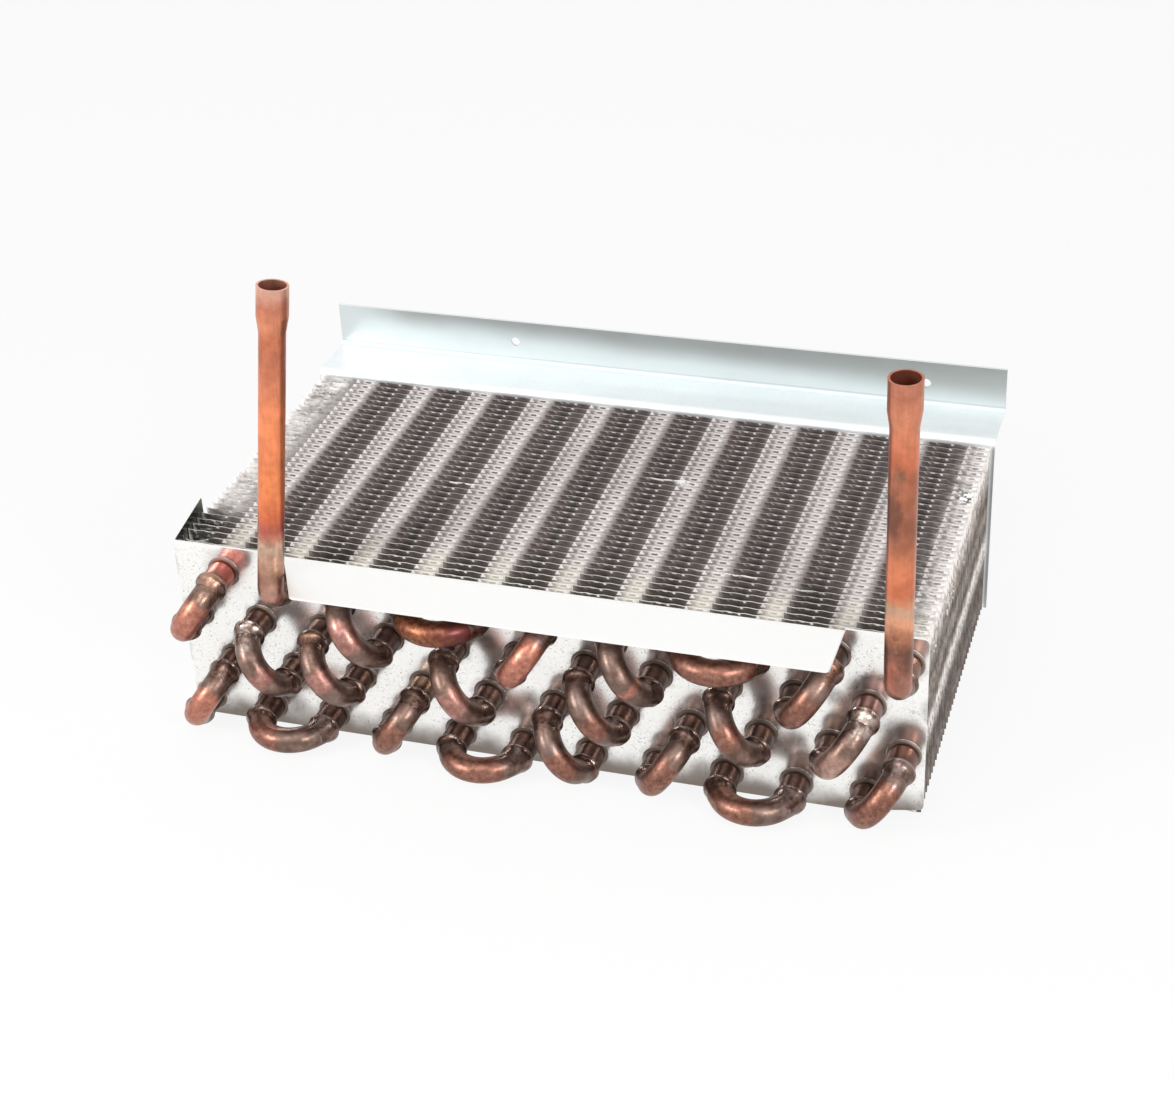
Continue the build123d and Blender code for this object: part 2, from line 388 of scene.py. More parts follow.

# %% [markdown]
# The front plate took the flame of all the joints. Smoke, mixed with painted shadows of the bends, lies round
# each tube and in a few places. A brown rim runs round each hole, and painted shade darkens the lower edge.
# The flange above stayed away from the flame, so it is clean. The tab at the left looks at the dark fins, and
# its inner side is painted nearly black as shade.

# %% Front plate
# Smoke and painted shadows of the bends: place across and up, and reach, in mm.
SMOKE_AND_SHADOWS = [
    (117.5, 53.0, 7.5), (129.5, 36.5, 8.5), (109.0, 48.0, 5.5), (-3.0, 28.0, 6.5), (-18.5, 50.0, 5.5),
    (95.0, 27.5, 6.0), (62.0, 8.0, 7.5), (-60.0, 8.0, 8.0), (-98.0, 10.0, 7.5), (4.0, 8.0, 7.5),
    (121.0, 16.0, 7.0),
]


def front_sheet():
    material, place, close = finish("front_sheet", metallic=0.93)
    x, y, z = axes(place)
    toward_x = facing(place)[0]
    wall = y.rise(FRONT + 2.5, FRONT + 0.4) * z.rise(TOP - 0.4, TOP - 2.5) * y.near(FRONT, 3.0, 1.5)
    tone = zinc(place, (0.93, 0.92, 0.89), (1.0, 0.995, 0.975), dirt=wall)
    grime = noise(place, 1.5, detail=5, rough=0.72, shift=9.0).rise(0.52, 0.70)
    grime = grime * noise(place, 14, detail=3, shift=6.0).rise(0.38, 0.60) * wall
    tone = (grime * 0.42).blend(tone, (0.34, 0.30, 0.25))
    nearest = tube_distance(x, z)
    # Smoke round each tube and at the listed places, mixed with painted shadows of the bends.
    smoke_and_shade = (nearest + noise(place, 3) * 5 - 2.5).rise(8.5, 5.0) * 0.45
    rub = noise(place, 2.2, detail=4, rough=0.65, stretch=(1, 1, 0.5)) * 0.9 + 0.25
    for across, upward, reach in SMOKE_AND_SHADOWS:
        smoke_and_shade = smoke_and_shade.math("MAXIMUM", spot(place, (across, FRONT, upward), reach, 1.0) * rub)
    tone = (smoke_and_shade * wall * 0.8).math("MINIMUM", 0.85).blend(tone, (0.10, 0.075, 0.06))
    # Painted shade: the plate is darker towards its lower edge.
    low = (z + noise(place, 18) * 14 - 7).rise(12, 1) * wall
    tone = (low * 0.88).blend(tone, (0.145, 0.105, 0.083))
    rims = y.rise(FRONT - 0.1, FRONT - 0.3) * nearest.rise(7.5, 7.0) * z.rise(TOP - 1.0, TOP - 2.0)
    tone = (rims * 0.85).blend(tone, (0.20, 0.13, 0.10))
    blush = spot(place, (-118.0, FRONT, 72.0), 12.0, 3.0) * wall
    tone = (blush * 0.3).blend(tone, (0.45, 0.24, 0.20))
    flange = y.rise(FRONT - 1.5, FRONT - 3.0) * z.rise(TOP - 1.4, TOP - 1.1)
    tone = (flange * 0.8).blend(tone, (0.94, 0.94, 0.93))
    # Painted shade: the tab's inner side, facing the fins, is painted nearly black.
    inside = toward_x.rise(0.4, 0.8) * x.rise(2.2 - SIDE, 1.3 - SIDE)
    tone = (inside * 0.85).blend(tone, (0.10, 0.115, 0.095))
    rough = noise(place, 6) * 0.10 + 0.14 + flange * 0.25 + rims * 0.25
    close(Base_Color=tone, Roughness=rough, Normal=relief(noise(place, 0.8), 0.22, 0.05))
    return material


dress(nodes["front_end_plate"], front_sheet())
print("front plate dressed, with", len(SMOKE_AND_SHADOWS), "smoky places")

# %% [markdown]
# The rear plate is cleaner. Its shelf mirrors the pale room above. The upstand is painted darker as a painted
# reflection of what is darker and lower, so it goes grey towards its top. A thin line of painted shade marks
# the fold between them, painted shade darkens the side edges, and a painted highlight runs along the top
# edge.


# %% Rear plate
def rear_sheet():
    material, place, close = finish("rear_sheet", metallic=0.5)
    x, _, z = axes(place)
    tone = zinc(place, (0.86, 0.915, 0.925), (0.95, 0.985, 0.99), dirt=0.12)
    # Painted reflection: the upstand is painted darker grey-green, as it mirrors darker things.
    upstand = z.rise(TOP + 0.3, TOP + 1.6)
    tone = (upstand * 0.9).blend(tone, (0.56, 0.61, 0.615))
    # Painted shade: a thin darker line along the fold.
    fold = z.near(TOP + 1.0, 0.9, 0.4)
    tone = (fold * 0.6).blend(tone, (0.40, 0.46, 0.48))
    # Painted reflection: the upstand goes darker towards its top, except at the far left.
    upstand_dark_reflection = (z + x * 0.035 + noise(place, 30) * 5 - 2.5).rise(TOP + 5, TOP + 16)
    tone = (upstand_dark_reflection * x.rise(-138, -105) * 0.85).blend(tone, (0.34, 0.365, 0.355))
    # Painted highlight: a light line along the upstand's top edge.
    edge = z.rise(UPSTAND_TOP - 0.25, UPSTAND_TOP)
    tone = (edge * 0.8).blend(tone, (0.9, 0.92, 0.92))
    # Painted shade: the plate's two side edges, below the shelf, are darker.
    side_edge_shade = abs(x).rise(SIDE - 1.4, SIDE - 0.5) * z.rise(TOP - 1.5, TOP - 4.0)
    tone = (side_edge_shade * 0.75).blend(tone, (0.30, 0.305, 0.30))
    streak = noise(place, 9, detail=3, stretch=(0.08, 1, 1.2)) * 0.12 + 0.94
    rough = noise(place, 7) * 0.2 + 0.3
    close(Base_Color=streak.shade(tone), Roughness=rough, Normal=relief(noise(place, 0.9), 0.2, 0.05))
    return material


dress(nodes["rear_end_plate"], rear_sheet())
print("rear plate dressed")

# %% [markdown]
# ## Rippled fins
#
# A fin is a strip of aluminium foil with small waves pressed across its width. We make one grid per fin:
# four steps to a wave, a few levels up, a front and a back face. Then dents bend the thin edges, as hands
# and tools do on a real coil. Each dent is a soft bell-shaped push, so that neighbouring fins lean
# together.

# %% Dents in the fins
# Each dent: place across and along, reach across and along, push along, drop of the edge, all in mm.
DENTS = [
    (31.0, 15.5, 3.5, 2.2, 1.5, 0.3),
    (-5.6, 1.8, 9.0, 1.6, -1.0, 0.1),
    (-14.7, 5.2, 5.0, 1.6, 1.1, 0.2),
    (4.2, -4.4, 5.0, 1.6, -0.9, 0.1),
    (-104.0, 8.7, 5.0, 2.0, 1.3, 0.2),
    (90.0, -49.0, 17.0, 1.8, -1.2, 0.0),
    (-134.3, -63.4, 5.0, 2.6, -2.6, 1.0),
    (-131.0, 62.0, 8.0, 7.0, 2.4, 1.6),
    (-134.0, 42.2, 7.0, 3.5, -2.4, 1.0),
    (-134.9, 28.9, 6.0, 3.0, 2.2, 0.9),
    (-137.0, -10.0, 6.0, 5.0, 1.6, 0.8),
    (136.0, 30.0, 5.0, 6.0, 2.4, 1.4),
    (133.0, 39.0, 4.0, 3.0, -2.0, 0.8),
    (134.0, -52.0, 7.0, 7.0, -1.8, 0.5),
]


def pushed(x, y, z):
    """How far a point of a straight fin moves along and down, near the dents."""
    depth = max(0.0, 1 - (FIN_TOP - z) / 9.0) ** 1.5
    along, down = 0.0, 0.0
    if depth > 0:
        for across, place, reach, run, push, drop in DENTS:
            near = math.exp(-((x - across) / reach) ** 2 - ((y - place) / run) ** 2)
            along += push * near * depth
            down += drop * near * depth
    return along, down


corner_push = pushed(-134.3, FIRST_FIN, FIN_TOP)
print(len(DENTS), "dents; the first fin's left end moves", [round(v, 2) for v in corner_push], "mm")

# %% [markdown]
# Foil this thin never stays flat, so each fin also sways a little, by seeded random waves that give the
# same coil on every run.

# %% Points and faces of one fin
STEPS = 4
LEVELS = [FIN_BOTTOM, 20.0, 45.0, 62.0, 69.5, 72.4, 73.9, FIN_TOP]


def fin_points(number):
    """Points of one fin: for the front and the back face, column by column from the left."""
    y0 = FIRST_FIN + number * FIN_PITCH
    columns = round(2 * FIN_END / RIPPLE * STEPS)
    lean = rng.normal(0, 0.10, 6)
    points = []
    for face in (0, 1):
        for i in range(columns + 1):
            x = -FIN_END + 2 * FIN_END * i / columns
            wave = math.sin(2 * math.pi * (x + WIDTH / 2 - RIPPLE_START) / RIPPLE) * RIPPLE_DEPTH
            sway = sum(a * math.sin(x / (16 + 9 * n) + n * 2.1 + number) for n, a in enumerate(lean))
            for z in LEVELS:
                along, down = pushed(x, y0, z)
                bent = sway * max(0.0, (z - 60) / 15) * 0.5
                points.append((x * MM, (y0 + wave + bent + along + face * FIN_SHEET) * MM, (z - down) * MM))
    return points, columns


def fin_grid(number):
    """Points and faces of one fin: two grids, joined all round the edge."""
    points, columns = fin_points(number)
    rows = len(LEVELS)
    half = rows * (columns + 1)
    faces = []
    for i in range(columns):
        for j in range(rows - 1):
            a = i * rows + j
            faces.append((a, a + rows, a + rows + 1, a + 1))
            faces.append((half + a, half + a + 1, half + a + rows + 1, half + a + rows))
        low, high = i * rows, i * rows + rows - 1
        faces.append((low + rows, low, half + low, half + low + rows))
        faces.append((high, high + rows, half + high + rows, half + high))
    for j in range(rows - 1):
        a, b = j, columns * rows + j
        faces.append((a, a + 1, half + a + 1, half + a))
        faces.append((b + 1, b, half + b, half + b + 1))
    return points, faces


print("a fin has", STEPS, "steps to a wave and", len(LEVELS), "levels from foot to edge")

# %% [markdown]
# Many small parts go into one mesh, so that they stay one piece of the model, tied to the frame's body. The
# fins come in two pieces, front and rear, which keeps each piece light, and the frame's own fin block is
# hidden.


# %% Fin meshes
def joined_mesh(name, parts, smooth=False):
    """One object from several lists of points and faces."""
    points, faces = [], []
    for part_points, part_faces in parts:
        start = len(points)
        points.extend(part_points)
        faces.extend(tuple(start + i for i in face) for face in part_faces)
    mesh = bpy.data.meshes.new(name)
    mesh.from_pydata(points, [], faces)
    mesh.polygons.foreach_set("use_smooth", [smooth] * len(faces))
    mesh.update()
    made = bpy.data.objects.new(name, mesh)
    bpy.context.scene.collection.objects.link(made)
    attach(made, "root")
    print(name, len(faces), "faces")
    return made


MIDDLE_FIN = 18
front_fins = joined_mesh("rippled_fins_front", [fin_grid(n) for n in range(MIDDLE_FIN)])
rear_fins = joined_mesh("rippled_fins_rear", [fin_grid(n) for n in range(MIDDLE_FIN, FINS)])
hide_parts("fin_pack")
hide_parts("fin_pack")

# %% [markdown]
# ## Collars
#
# Each fin grips its tubes with a drawn collar, a short flared sleeve that also sets the gap to the next
# fin. At the block's sides they show as ribbed pale tubes. We turn one profile that repeats at every fin,
# once for each tube.


# %% Collars along each tube
def turned(centre, profile, segments):
    """Points and faces of a profile of (radius, y) turned about the axis through centre (x, z)."""
    points, faces = [], []
    for radius, y in profile:
        for s in range(segments):
            angle = 2 * math.pi * s / segments
            x = centre[0] + radius * math.cos(angle)
            z = centre[1] + radius * math.sin(angle)
            points.append((x * MM, y * MM, z * MM))
    for ring in range(len(profile) - 1):
        for s in range(segments):
            a, b = ring * segments + s, ring * segments + (s + 1) % segments
            faces.append((a, a + segments, b + segments, b))
    return points, faces


collar_profile = []
for number in range(FINS):
    y = FIRST_FIN + number * FIN_PITCH
    collar_profile += [(6.1, y + 0.05), (5.35, y + 0.75), (5.2, y + 3.6)]
collars = joined_mesh(
    "fin_collars", [turned(tube_at(t), collar_profile, 12) for t in TUBES], smooth=True,
)

# %% [markdown]
# ## What the fins look like
#
# Bare aluminium mirrors what is beside it. Over a tube a fin sees the pale collar and turns bright, and
# between tubes it sees a deep dark gap. A render would need many bounces to find all that in gaps this
# narrow, so the finish holds it. Two grey ramps give the tone across one tube pitch: one near the fin's
# edge, one two millimetres down, where the next fin hides the rest. A warm grey colours both.


# %% Tones within one pitch
WARM, PALE = (1.15, 0.95, 0.90), (1.06, 0.985, 0.965)


def pitch_tone(u, depth):
    """Grey across one tube pitch, from just under the edge to two millimetres down."""
    near_edge = (u / PITCH).ramp(
        (0.0, 0.50), (0.035, 0.37), (0.075, 0.085), (0.14, 0.09), (0.24, 0.135), (0.28, 0.10), (0.34, 0.10),
        (0.43, 0.18), (0.52, 0.09), (0.58, 0.115), (0.62, 0.17), (0.68, 0.38), (0.74, 0.46), (0.78, 0.60),
        (0.83, 0.72), (0.88, 0.54), (0.93, 0.62), (1.0, 0.60),
    )
    deeper = (u / PITCH).ramp(
        (0.0, 0.46), (0.04, 0.32), (0.09, 0.17), (0.15, 0.13), (0.20, 0.11), (0.26, 0.07), (0.33, 0.06),
        (0.40, 0.11), (0.50, 0.11), (0.60, 0.15), (0.65, 0.24), (0.72, 0.36), (0.78, 0.76), (0.84, 1.0),
        (0.89, 1.0), (0.96, 0.60), (1.0, 0.46),
    )
    return depth.rise(0.7, 1.9).blend(near_edge, deeper)


def white_marks(place, u, depth, clear):
    """Painted glints of each wave: slash, dash, dot, triangle and the bright rim of a dark gap."""
    chance = noise(place, 4.2, detail=0, stretch=(0.12, 1, 0.01), shift=2.0)
    slash = (u - depth * 0.9).near(4.0, 0.55, 0.15) * depth.rise(1.3, 0.7) * 0.28
    dash = u.near(7.1, 1.25, 0.4) * depth.near(0.32, 0.26, 0.08) * chance.rise(0.34, 0.62) * 0.9
    dot = (u - depth * 0.4).near(10.3, 0.60, 0.28) * depth.near(0.50, 0.48, 0.22) * (chance * 0.5 + 0.62)
    triangle = (abs(u - 17.1) - depth * 0.52).rise(0.28, 0.0) * depth.rise(1.75, 1.45)
    triangle = triangle * (chance * 0.3 + 0.8) * clear
    above = u.near(22.0, 1.9, 1.3) * depth.near(0.24, 0.26, 0.10)
    beside = u.near(23.9, 0.95, 0.35) * depth.near(0.95, 0.75, 0.25)
    return slash, dash + dot + triangle + (above + beside) * (chance * 0.5 + 0.75)


def dark_slits(u, depth, clear):
    """Painted shade: small dark gaps in the bright zone, and the shade beside each white triangle."""
    gap_shade = (u + depth * 0.5).near(22.3, 1.35, 0.85) * depth.near(0.85, 0.50, 0.26) * clear
    shade = u.near(18.9, 0.95, 0.35) * depth.near(1.25, 0.9, 0.4) * 0.55
    below = u.rise(18.5, 20.0) * depth.near(2.0, 0.55, 0.2) * 0.30
    return gap_shade + shade + below


print("tones for one pitch of", PITCH, "mm, four waves of", RIPPLE, "mm")

# %% [markdown]
# The two ends of the block look different. Seen from the side, each gap shows a sliver of the next fin, with
# painted reflections in bright and dark streaks that follow the tube rows. On the right a few ragged bright
# patches of painted highlight mark crushed fins.


# %% Ends of the block
def side_tone(place, x, z):
    """Colour of the slivers between the fins at the two side faces, with painted reflections in rows and
    painted highlights.
    """
    fin_shift = noise(place, 1.4, detail=1, stretch=(0.02, 1, 0.01), shift=4.0) * 6.0 - 3.0
    drift = noise(place, 30, detail=2) * 5.0 - 2.5
    # Painted reflections: bright and dark rows that follow the tube rows.
    rows = ((z + fin_shift + drift) / TOP).ramp(
        (0.0, 0.14), (0.08, 0.20), (0.14, 0.14), (0.22, 0.12), (0.28, 0.16), (0.325, 0.38), (0.365, 0.74),
        (0.41, 0.88), (0.445, 0.45), (0.485, 0.17), (0.525, 0.14), (0.565, 0.25), (0.62, 0.26), (0.665, 0.13),
        (0.72, 0.20), (0.787, 0.34), (0.84, 0.52), (0.89, 0.78), (0.94, 0.88), (1.0, 0.76),
    )
    streak = noise(place, 1.4, detail=3, rough=0.65, stretch=(0.3, 1.3, 0.30), shift=4.0)
    streak = streak.rise(0.32, 0.68) * 0.8 + 0.6
    # Painted highlight: the very end of each fin is lighter.
    edge = (FIN_END - abs(x)).rise(1.1, 0.2) * 0.45 + 0.78
    level = rows * streak * edge
    # Painted highlights: ragged bright patches on damaged fins at the right side.
    for along, up, reach in ((-50.0, 59.0, 8.0), (-23.0, 59.5, 9.0), (-13.0, 59.0, 6.0), (12.0, 59.0, 5.0)):
        ragged_glint = noise(place, 2.2, detail=3, shift=1.0).rise(0.44, 0.58)
        level = level.math("MAXIMUM", spot(place, (FIN_END, along, up), reach, 1.5) * x.rise(130, 135) * ragged_glint)
    return level.math("MINIMUM", 1.0).shade(level.rise(0.15, 0.7).blend((1.2, 1.0, 0.88), (1.08, 1.0, 0.95)))


print("the fins end", round(WIDTH / 2 - FIN_END, 2), "mm inside the block's sides")

# %% [markdown]
# Handling left its marks too. The left end is paler behind a front corner of painted shade beside the tab,
# and the right end is mottled. White places of painted highlight show where the foil was torn or crushed and
# catches the lamps, with painted shade in the hollows of one. They stand where the photograph shows them.

# %% Rubbed ends and torn edges
# Torn edges that shine white: place across, half length and the number of the fin.
TORN = [
    (26.0, 10.0, 21), (87.0, 10.0, 21), (4.0, 5.0, 16), (-94.0, 8.0, 18), (-50.0, 10.0, 16), (64.0, 15.0, 6),
    (94.0, 15.0, 5),
]


def rubbed_ends(tone, place, grain, grey):
    """The fins' colour with the pale left strip, painted shade in the corner beside the tab and the mottled
    right end.
    """
    x, y, _ = axes(place)
    across = x + WIDTH / 2
    left = across.rise(21, 9) * y.rise(FRONT + 20, FRONT + 34)
    pale = (grain.rise(0.30, 0.56) * 0.42 + grey * 0.5 + 0.36).shade((1.04, 1.0, 0.97))
    tone = (left * 0.85).blend(tone, pale)
    crumpled = spot(place, (-134.0, 58.0, 74.0), 12.0, 4.0) * grain.rise(0.56, 0.46)
    tone = (crumpled * 0.6).blend(tone, (0.22, 0.21, 0.20))
    right_end = across.rise(WIDTH - 15, WIDTH - 6)
    rubbed = noise(place, 1.8, detail=3, rough=0.6, stretch=(0.5, 1.4, 1), shift=3.0).rise(0.40, 0.60)
    tone = (right_end * 0.35).blend(tone, rubbed.blend((0.16, 0.15, 0.14), (0.97, 0.95, 0.92)))
    # Painted shade in the corner of the fins beside the tab.
    tab_corner_shade = across.rise(17, 4) * y.rise(FRONT + 27, FRONT + 20)
    dark = grain.rise(0.5, 0.66).blend((0.045, 0.045, 0.038), (0.6, 0.6, 0.57))
    return (tab_corner_shade * 0.75).blend(tone, dark)


def crushed_edges(tone, place, grain, depth):
    """The fins' colour with painted highlights where the foil is torn or flattened, and painted shade in the
    dark hollows of one such place.
    """
    x, y, _ = axes(place)
    # Painted highlights where the foil is torn or flattened, and painted shade in the hollows at the torn
    # right end.
    crushed_glint = spot(place, (31.0, 17.0, FIN_TOP), 4.2, 1.0) + spot(place, (-134.3, -65.2, 74.0), 5.2, 3.2)
    torn_end_glint_and_shade = spot(place, (136.5, 31.5, 74.0), 5.4, 2.4)
    tone = (torn_end_glint_and_shade * grain.rise(0.55, 0.46) * 0.95).blend(tone, (0.05, 0.045, 0.042))
    crushed_glint = crushed_glint * grain.rise(0.36, 0.50) + torn_end_glint_and_shade * grain.rise(0.47, 0.55)
    for across, reach, number in TORN:
        along = FIRST_FIN + (number + 0.1) * FIN_PITCH
        edge = x.near(across, reach, reach * 0.5) * y.near(along, 1.95, 1.5) * depth.rise(0.75, 0.3)
        crushed_glint = crushed_glint + edge * grain.rise(0.40, 0.52)
    return crushed_glint.math("MINIMUM", 0.97).blend(tone, (1.0, 0.99, 0.98))


print(len(TORN), "torn edges; the first on the fin at y", round(FIRST_FIN + TORN[0][2] * FIN_PITCH, 2))

# %% [markdown]
# One finish puts all this together. Near the front plate the foil is a little warmer and its painted
# reflections are stronger, and every fin's edge gets a painted highlight, a bright line.


# %% Fin finish
def fin_foil():
    material, place, close = finish("fin_foil", metallic=0.1, roughness=0.42)
    x, y, z = axes(place)
    wander = noise(place, 6.0, detail=1, stretch=(0.02, 1, 0.01)) * 1.1 - 0.55
    u = (x + WIDTH / 2 + wander) % PITCH
    depth = FIN_TOP - z
    grain = noise(place, 1.8, detail=3, rough=0.65, stretch=(0.6, 1.3, 1), shift=7.0)
    patchy = noise(place, 3.2, detail=1, stretch=(0.55, 1.5, 0.01), shift=5.0) * 0.7 + 0.65
    grey = pitch_tone(u, depth) * (noise(place, 1.5, detail=3, rough=0.65) * 0.8 + 0.62)
    grey = grey * u.rise(17.0, 16.0).math("MULTIPLY_ADD", patchy - 1, 1.0)
    clear = x.rise(105, 45) * 0.25 + 0.75
    # Painted glints on each wave, and a painted bright slash.
    slash, painted_glints = white_marks(place, u, depth, clear)
    tone = (grey + slash).shade(grey.rise(0.18, 0.5).blend(WARM, PALE))
    # Painted shade in the dark gaps between the glints.
    tone = (dark_slits(u, depth, clear) * 0.92).math("MINIMUM", 0.92).blend(tone, (0.14, 0.115, 0.11))
    # Near the front plate the painted reflections are stronger: a warmer bright zone and a darker gap.
    ahead = y.rise(FRONT + 32, FRONT + 8)
    tone = (ahead * u.rise(17.0, 19.5) * 0.5).blend(tone, (0.88, 0.85, 0.70))
    tone = (ahead * u.rise(17.5, 15.5) * 0.6).blend(tone, (0.055, 0.049, 0.036))
    tone = rubbed_ends(tone, place, grain, grey)
    tone = painted_glints.math("MINIMUM", 1.0).blend(tone, (1.0, 0.99, 0.98))
    # Painted highlight: a bright line along every fin's edge.
    edge_glint = noise(place, 5.0, stretch=(1, 0.4, 1)) * 0.6 + u.rise(14, 19) * 0.3 + ahead * 0.55
    line = depth.rise(0.24, 0.10) * edge_glint
    tone = line.math("MINIMUM", 0.9).blend(tone, (0.92, 0.89, 0.86))
    tone = crushed_edges(tone, place, grain, depth)
    ends = abs(x).rise(FIN_END - 1.9, FIN_END - 1.3) * depth.rise(1.2, 3.0)
    tone = ends.blend(tone, side_tone(place, x, z))
    # Painted highlight along the top edges at both ends of the block.
    end_edge_highlight = abs(x).rise(FIN_END - 1.2, FIN_END - 0.5) * depth.rise(2.6, 1.0) * grain.rise(0.34, 0.50)
    tone = (end_edge_highlight * 0.55).blend(tone, ahead.blend((0.90, 0.88, 0.86), (0.93, 0.90, 0.78)))
    close(Base_Color=tone)
    return material


foil = fin_foil()
dress(front_fins, foil)
dress(rear_fins, foil)
print("fins dressed")

# %% [markdown]
# The collars lie deep between the fins, where little light comes. A cloudy grey is enough for them.


# %% Collar finish
def collar_foil():
    material, place, close = finish("collar_foil", metallic=0.5, roughness=0.38)
    mottle = noise(place, 3)
    close(Base_Color=mottle.blend((0.45, 0.42, 0.41), (0.78, 0.76, 0.75)))
    return material


dress(collars, collar_foil())
print("collars dressed")

# %% [markdown]
# ## Brazed joints
#
# Where a bend enters its bell, filler metal has run round the seam and left a rounded bead, thicker on
# one side, sometimes with a lump. The bead starts on the bell's lip and runs out onto the bend, so its
# rings first share the bell's axis and then follow the bend's own arc. The lumps stand where the
# photograph shows bright blobs.

# %% Which tubes each bend joins
# For each bend: where its bare copper patch lies from the first end (0) to the second (1), the patch's
# half length on the same scale, and the patch's tone.
BENDS = {
    "A1-B1": (0.66, 0.36, "salmon"), "A3-B4": (0.42, 0.13, "rose"), "A4-A5": (0.40, 0.62, "orange"),
    "A6-B6": (0.62, 0.40, "salmon"), "A7-B8": (0.58, 0.025, "salmon"), "A8-A9": (0.47, 0.38, "brown"),
    "A10-B10": (0.70, 0.35, "brown"), "B2-C2": (0.55, 0.07, "rose"), "B3-C3": (0.47, 0.09, "rose"),
    "B5-C5": (0.50, 0.11, "rose"), "B7-C7": (0.55, 0.10, "brown"), "B9-C9": (0.44, 0.09, "brown"),
    "B11-C10": (0.72, 0.30, "pale"), "C1-D1": (0.68, 0.36, "salmon"), "C4-D4": (0.70, 0.33, "brown"),
    "C6-D7": (0.54, 0.12, "brown"), "C8-D8": (0.68, 0.36, "brown"), "C11-D11": (0.62, 0.38, "brown"),
    "D2-D3": (0.34, 0.17, "brown"), "D5-D6": (0.50, 0.24, "brown"), "D9-D10": (0.31, 0.22, "brown"),
}
# Lumps of filler: the angle where each stands, its size and its tone.
LUMPS = {
    "A1": (100, 1.3, "straw"), "B2": (110, 1.1, "silver"), "B3": (60, 0.6, "straw"),
    "A10": (60, 0.9, "straw"), "B11": (95, 1.2, "silver"), "C11": (80, 0.7, "mauve"),
    "D3": (80, 0.6, "mauve"), "D6": (70, 0.5, "mauve"), "D10": (100, 0.7, "mauve"),
}
FILLER = {"straw": (0.43, 0.25, 0.175), "silver": (0.70, 0.59, 0.52), "mauve": (0.36, 0.28, 0.26)}


STUB_REACH = {"A2": 7.9, "A11": 11.5}  # from the front plate to the mouths below the two stubs
ELBOW_RADIUS = 6.01


def joint_path(name):
    """Mouth's place along y, start of the turn before it, turn's radius and its direction."""
    if name in STUB_REACH:
        return FRONT - STUB_REACH[name], 0.0, ELBOW_RADIUS, (0.0, 1.0)
    link = next(link for link in BENDS if name in link.split("-"))
    first, second = link.split("-")
    here, there = Vector(tube_at(name)), Vector(tube_at(second if name == first else first))
    gap = there - here
    return FRONT - BELL_REACH, BEND_INSET, gap.length / 2, tuple(gap.normalized())


print(len(BENDS), "bends and", len(LUMPS), "lumps; A1 turns with radius", round(joint_path("A1")[2], 2), "mm")

# %% [markdown]
# A bead is a stack of rings, and each ring stands square to the tube's path at its own place. The first
# rings hug the bell's lip, and the later ones shrink onto the bend.

# %% Rings of a bead
# Each ring: how far beyond the bell's mouth, and its radius, in mm.
BEAD = [
    (-0.9, 5.50), (-0.55, 5.95), (-0.1, 6.07), (0.35, 5.88),
    (0.8, 5.50), (1.5, 5.16), (2.4, 4.95), (3.4, 4.80),
]


def bead_ring(name, beyond, radius, angles, swell):
    """Points of one ring of the bead, that far beyond the mouth along the joint's path."""
    x, z = tube_at(name)
    mouth, inset, turn_radius, (to_x, to_z) = joint_path(name)
    toward = Vector((to_x, 0, to_z))
    centre, lift = Vector((x, mouth - beyond, z)), 0.0
    if beyond > 0:
        lift = (beyond + inset) / turn_radius
        forward = turn_radius * math.sin(lift) - inset
        centre = Vector((x, mouth - forward, z)) + toward * turn_radius * (1 - math.cos(lift))
    along = Vector((0, -math.cos(lift), 0)) + toward * math.sin(lift)
    ring = []
    for angle, extra in zip(angles, swell):
        level = Vector((math.cos(angle), 0, math.sin(angle)))
        level = (level - along * level.dot(along)).normalized()
        ring.append((centre + level * (radius + extra)) * MM)
    return ring


print(len(BEAD), "rings to a bead")

# %% [markdown]
# A small random swell makes every bead a little different, and a bell-shaped bump on one side makes the
# lump. All 44 beads go into one mesh.


# %% Beads
def bead(name):
    """Rounded bead over a bell's lip, and the fillet that runs onto the bend."""
    segments = 40
    angles = [2 * math.pi * s / segments for s in range(segments)]
    lump_angle, lump, _ = LUMPS.get(name, (90, rng.uniform(0.0, 0.3), ""))
    wander = rng.normal(0, 0.06, 5)
    run = rng.uniform(0.7, 1.5)
    points, faces = [], []
    for ring, (beyond, radius) in enumerate(BEAD):
        weight = math.sin(math.pi * (ring + 0.4) / len(BEAD))
        swell = []
        for angle in angles:
            wave = sum(w * math.sin((n + 1) * angle + n * 1.7) for n, w in enumerate(wander))
            off = math.remainder(angle - math.radians(lump_angle), 2 * math.pi)
            swell.append((wave + 0.42 * lump * math.exp(-(off / 0.75) ** 2)) * weight)
        reach = beyond * run if beyond > 0 else beyond
        points.extend(bead_ring(name, reach, radius, angles, swell))
    for ring in range(len(BEAD) - 1):
        for s in range(segments):
            a, b = ring * segments + s, ring * segments + (s + 1) % segments
            faces.append((a, b, b + segments, a + segments))
    return points, faces


beads = joined_mesh("braze_beads", [bead(t) for t in TUBES], smooth=True)

# %% [markdown]
# ## Copper
#
# The flame of brazing turned the bends brown and purple-grey, and left one patch of each bare and
# salmon-coloured. The patch is a stretch along the bend, so we need the angle round the bend's own arc:
# the arctangent of how far out a point is and how far along the chord. The bells close to the plate are
# almost black-brown, the beads are paler, with silver and straw-coloured filler.

